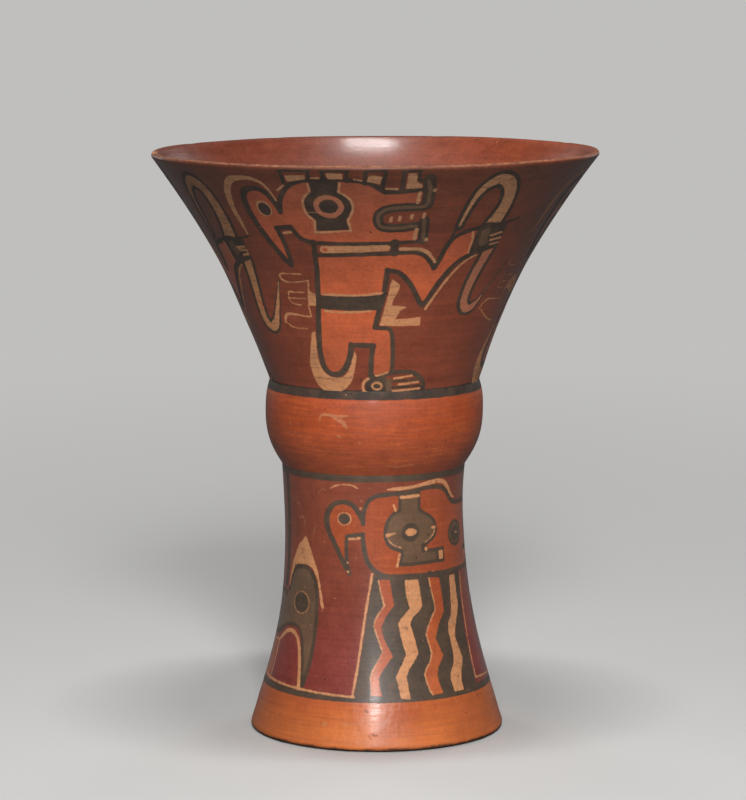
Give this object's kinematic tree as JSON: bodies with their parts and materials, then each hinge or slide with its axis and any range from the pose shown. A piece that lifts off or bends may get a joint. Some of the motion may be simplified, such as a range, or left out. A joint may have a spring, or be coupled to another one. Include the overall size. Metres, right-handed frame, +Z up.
{
  "type": "kero cup",
  "caption": "Waisted ceramic drinking cup with a wide flaring bowl, a bulging belt round its neck, a narrow painted stem and a splayed flat foot.",
  "frame": {"origin": "centre of the flat base, on the surface that the cup stands on", "axes": "+Z up along the cup's axis; -Y is the side that the picture shows, and +X is to the right in it"},
  "size_m": [0.1564, 0.1564, 0.2049],
  "materials": {
    "red_slip": "burnished dark red slip with painted figures",
    "orange_slip": "burnished orange slip"
  },
  "bodies": {
    "root": {"floor_disc": "orange_slip", "foot_coil": "orange_slip", "stem_coil_1": "red_slip", "stem_coil_2": "red_slip", "stem_coil_3": "red_slip", "neck_coil": "red_slip", "bowl_coil_1": "red_slip", "bowl_coil_2": "red_slip", "bowl_coil_3": "red_slip", "rim_coil": "red_slip", "belt": "orange_slip"}
  },
  "joints": []
}
